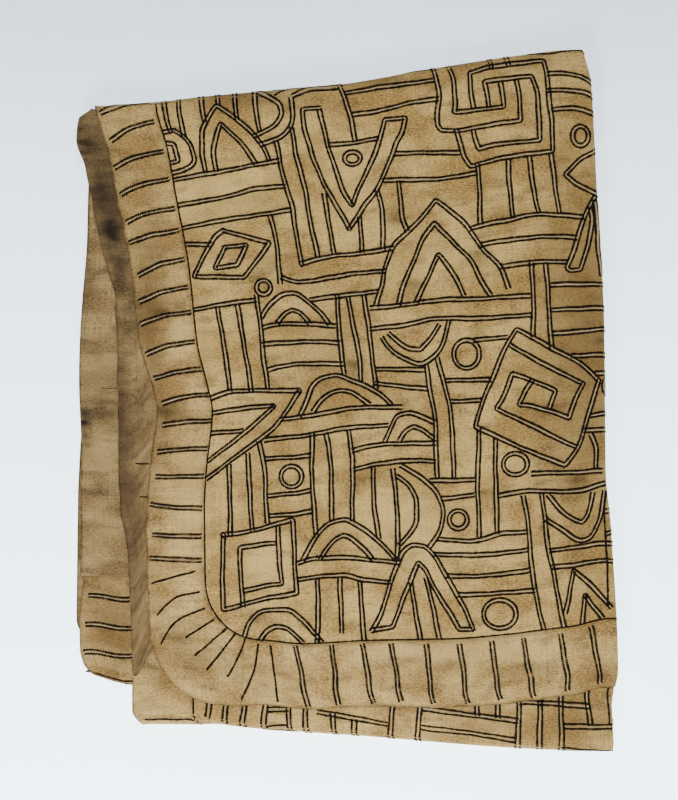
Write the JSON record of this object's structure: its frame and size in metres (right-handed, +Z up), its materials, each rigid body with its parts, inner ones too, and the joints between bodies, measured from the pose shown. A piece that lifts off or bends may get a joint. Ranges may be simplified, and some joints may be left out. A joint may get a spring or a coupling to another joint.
{
  "type": "folded embroidered raffia cloth",
  "caption": "Embroidered raffia overskirt folded flat in half and back and forth, with a sewn-on border and rounded corner.",
  "frame": {"origin": "middle of the bundle's box, on the table it rests on", "axes": "+Y from the open hems to the top fold, +X towards the long side fold, +Z up"},
  "size_m": [0.3926, 0.508, 0.0177],
  "materials": {
    "raffia_field": "plain-woven raffia, matt, with raised black and pale stitched lines",
    "raffia_border": "plain-woven raffia, matt, with short stitched bars and a rolled hem"
  },
  "bodies": {
    "root": {"field": "raffia_field", "border": "raffia_border"}
  },
  "joints": []
}
